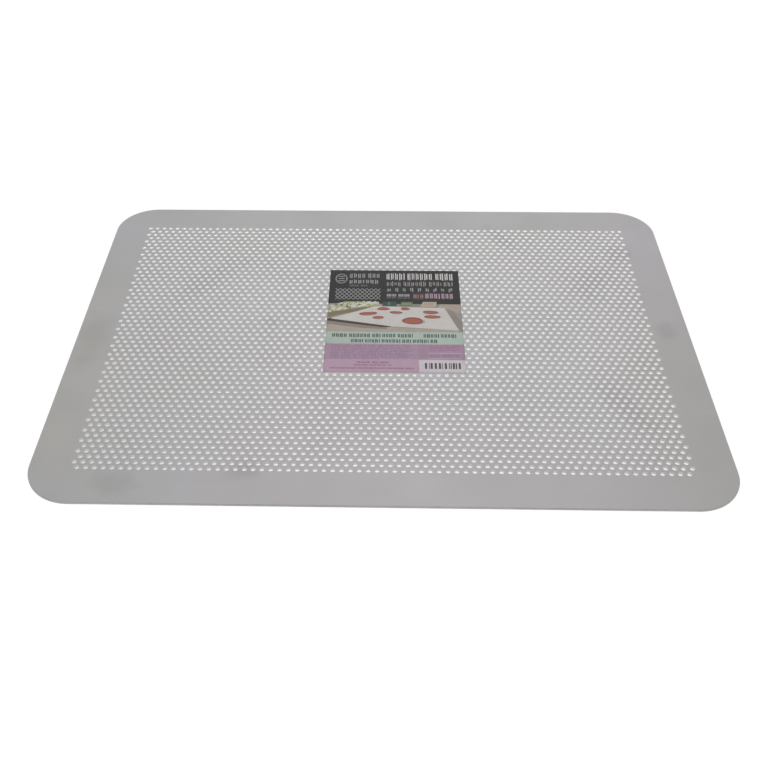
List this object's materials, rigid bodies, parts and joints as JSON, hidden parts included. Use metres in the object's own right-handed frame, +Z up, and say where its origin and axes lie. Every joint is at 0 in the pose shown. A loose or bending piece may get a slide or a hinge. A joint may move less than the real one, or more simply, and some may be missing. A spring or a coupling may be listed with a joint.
{
  "type": "perforated baking sheet",
  "caption": "Flat rimless perforated baking sheet in satin aluminium, with round corners, a staggered field of small round holes and a printed label stuck on top.",
  "frame": {"origin": "middle of the sheet's underside", "axes": "+X to the right along the long side, +Y to the back edge, +Z up out of the face with the label"},
  "size_m": [0.4, 0.3, 0.0017],
  "materials": {
    "aluminium": "satin mill finish with faint rolling lines and cloudy smudges",
    "adhesive": "thin tacky film of acrylic adhesive, cloudy and pale",
    "label": "semi-matt coated paper printed in dark grey, mint, mauve and pink bands with a picture"
  },
  "bodies": {
    "root": {"perforated_sheet": "aluminium", "label_adhesive": "adhesive", "product_label": "label"}
  },
  "joints": []
}
